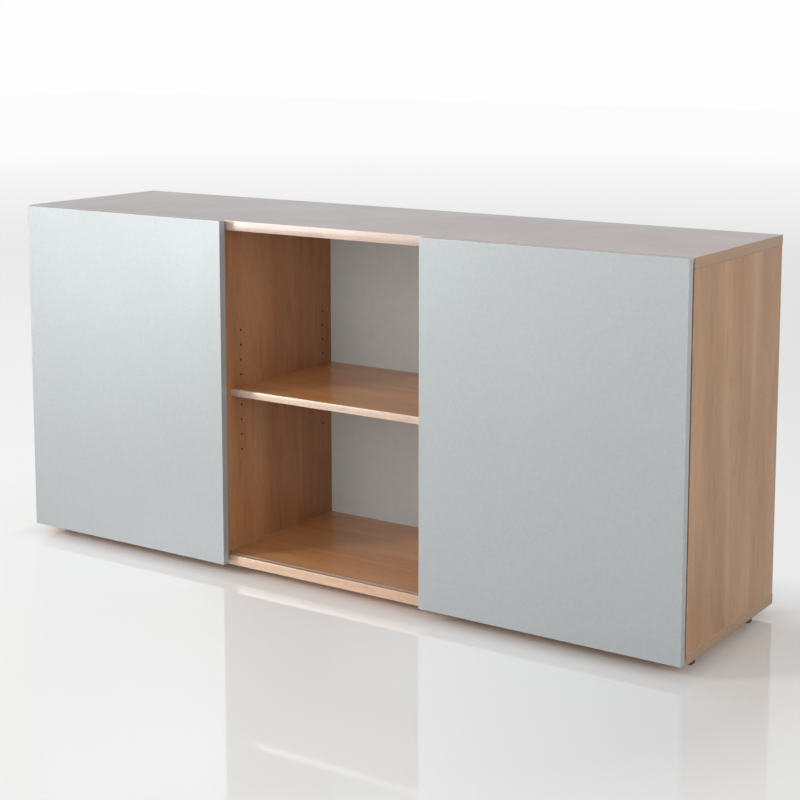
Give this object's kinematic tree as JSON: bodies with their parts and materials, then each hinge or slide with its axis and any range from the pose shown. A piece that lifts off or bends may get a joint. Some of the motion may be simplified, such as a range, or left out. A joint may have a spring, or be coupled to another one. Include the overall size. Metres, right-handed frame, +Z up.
{
  "type": "office credenza",
  "caption": "Low wood-grain office credenza with flat overlay sliding doors on its outer bays, an open middle bay with an adjustable shelf, and levelling feet.",
  "frame": {"origin": "on the floor, midway along the width and midway along the overall depth, doors included", "axes": "+X along the width, to the right seen from the front; +Y from the doors towards the back; +Z up"},
  "size_m": [1.6, 0.424, 0.747],
  "materials": {
    "beech_board": "satin melamine, fine straight grain",
    "beech_edge": "satin edging, wood print",
    "grey_board": "matt light grey melamine",
    "silver_board": "satin silver grey",
    "silver_edge": "satin silver grey edging",
    "track_aluminium": "anodised, satin",
    "zinc_steel": "zinc plated",
    "white_nylon": "moulded",
    "black_rubber": "matt",
    "black_plastic": "fine grained"
  },
  "bodies": {
    "carcass": {"top_panel": "beech_board", "top_edging": "beech_edge", "bottom_panel": "beech_board", "bottom_edging": "beech_edge", "left_side_panel": "beech_board", "right_side_panel": "beech_board", "side_edging": "beech_edge", "left_divider_panel": "beech_board", "right_divider_panel": "beech_board", "divider_edging": "beech_edge", "back_panel": "grey_board", "left_shelf": "beech_board", "middle_shelf": "beech_board", "right_shelf": "beech_board", "shelf_edging": "beech_edge", "shelf_pins": "zinc_steel", "bottom_track": "track_aluminium", "top_track": "track_aluminium", "track_stops": "black_rubber"},
    "left_door": {"left_door_panel": "silver_board", "left_door_edging": "silver_edge", "left_door_carriages": "zinc_steel", "left_door_guides": "zinc_steel", "left_door_guide_pins": "white_nylon", "left_door_axles": "zinc_steel"},
    "right_door": {"right_door_panel": "silver_board", "right_door_edging": "silver_edge", "right_door_carriages": "zinc_steel", "right_door_guides": "zinc_steel", "right_door_guide_pins": "white_nylon", "right_door_axles": "zinc_steel"},
    "left_door_left_roller": {"left_door_left_roller": "white_nylon"},
    "left_door_right_roller": {"left_door_right_roller": "white_nylon"},
    "right_door_left_roller": {"right_door_left_roller": "white_nylon"},
    "right_door_right_roller": {"right_door_right_roller": "white_nylon"},
    "foot_front_left": {"foot_front_left": "black_plastic"},
    "foot_front_middle_left": {"foot_front_middle_left": "black_plastic"},
    "foot_front_middle_right": {"foot_front_middle_right": "black_plastic"},
    "foot_front_right": {"foot_front_right": "black_plastic"},
    "foot_rear_left": {"foot_rear_left": "black_plastic"},
    "foot_rear_middle_left": {"foot_rear_middle_left": "black_plastic"},
    "foot_rear_middle_right": {"foot_rear_middle_right": "black_plastic"},
    "foot_rear_right": {"foot_rear_right": "black_plastic"}
  },
  "joints": [
    {"name": "left_door_slide", "type": "slide", "parent": "carcass", "child": "left_door", "axis": [1, 0, 0], "range_m": [-0.015, 0.484]},
    {"name": "right_door_slide", "type": "slide", "parent": "carcass", "child": "right_door", "axis": [1, 0, 0], "range_m": [-0.484, 0]},
    {"name": "left_door_left_roller_spin", "type": "hinge", "parent": "left_door", "child": "left_door_left_roller", "pos_m": [-0.725, -0.177, 0.0487], "axis": [0, 1, 0], "continuous": true},
    {"name": "left_door_right_roller_spin", "type": "hinge", "parent": "left_door", "child": "left_door_right_roller", "pos_m": [-0.2955, -0.177, 0.0487], "axis": [0, 1, 0], "continuous": true},
    {"name": "right_door_left_roller_spin", "type": "hinge", "parent": "right_door", "child": "right_door_left_roller", "pos_m": [0.3105, -0.177, 0.0487], "axis": [0, 1, 0], "continuous": true},
    {"name": "right_door_right_roller_spin", "type": "hinge", "parent": "right_door", "child": "right_door_right_roller", "pos_m": [0.74, -0.177, 0.0487], "axis": [0, 1, 0], "continuous": true},
    {"name": "foot_front_left_screw", "type": "slide", "parent": "carcass", "child": "foot_front_left", "axis": [0, 0, -1], "range_m": [0, 0.01]},
    {"name": "foot_front_middle_left_screw", "type": "slide", "parent": "carcass", "child": "foot_front_middle_left", "axis": [0, 0, -1], "range_m": [0, 0.01]},
    {"name": "foot_front_middle_right_screw", "type": "slide", "parent": "carcass", "child": "foot_front_middle_right", "axis": [0, 0, -1], "range_m": [0, 0.01]},
    {"name": "foot_front_right_screw", "type": "slide", "parent": "carcass", "child": "foot_front_right", "axis": [0, 0, -1], "range_m": [0, 0.01]},
    {"name": "foot_rear_left_screw", "type": "slide", "parent": "carcass", "child": "foot_rear_left", "axis": [0, 0, -1], "range_m": [0, 0.01]},
    {"name": "foot_rear_middle_left_screw", "type": "slide", "parent": "carcass", "child": "foot_rear_middle_left", "axis": [0, 0, -1], "range_m": [0, 0.01]},
    {"name": "foot_rear_middle_right_screw", "type": "slide", "parent": "carcass", "child": "foot_rear_middle_right", "axis": [0, 0, -1], "range_m": [0, 0.01]},
    {"name": "foot_rear_right_screw", "type": "slide", "parent": "carcass", "child": "foot_rear_right", "axis": [0, 0, -1], "range_m": [0, 0.01]}
  ],
  "couplings": [
    {"joint": "left_door_left_roller_spin", "follows": "left_door_slide", "rad_per_m": 71.429},
    {"joint": "left_door_right_roller_spin", "follows": "left_door_slide", "rad_per_m": 71.429},
    {"joint": "right_door_left_roller_spin", "follows": "right_door_slide", "rad_per_m": 71.429},
    {"joint": "right_door_right_roller_spin", "follows": "right_door_slide", "rad_per_m": 71.429}
  ]
}
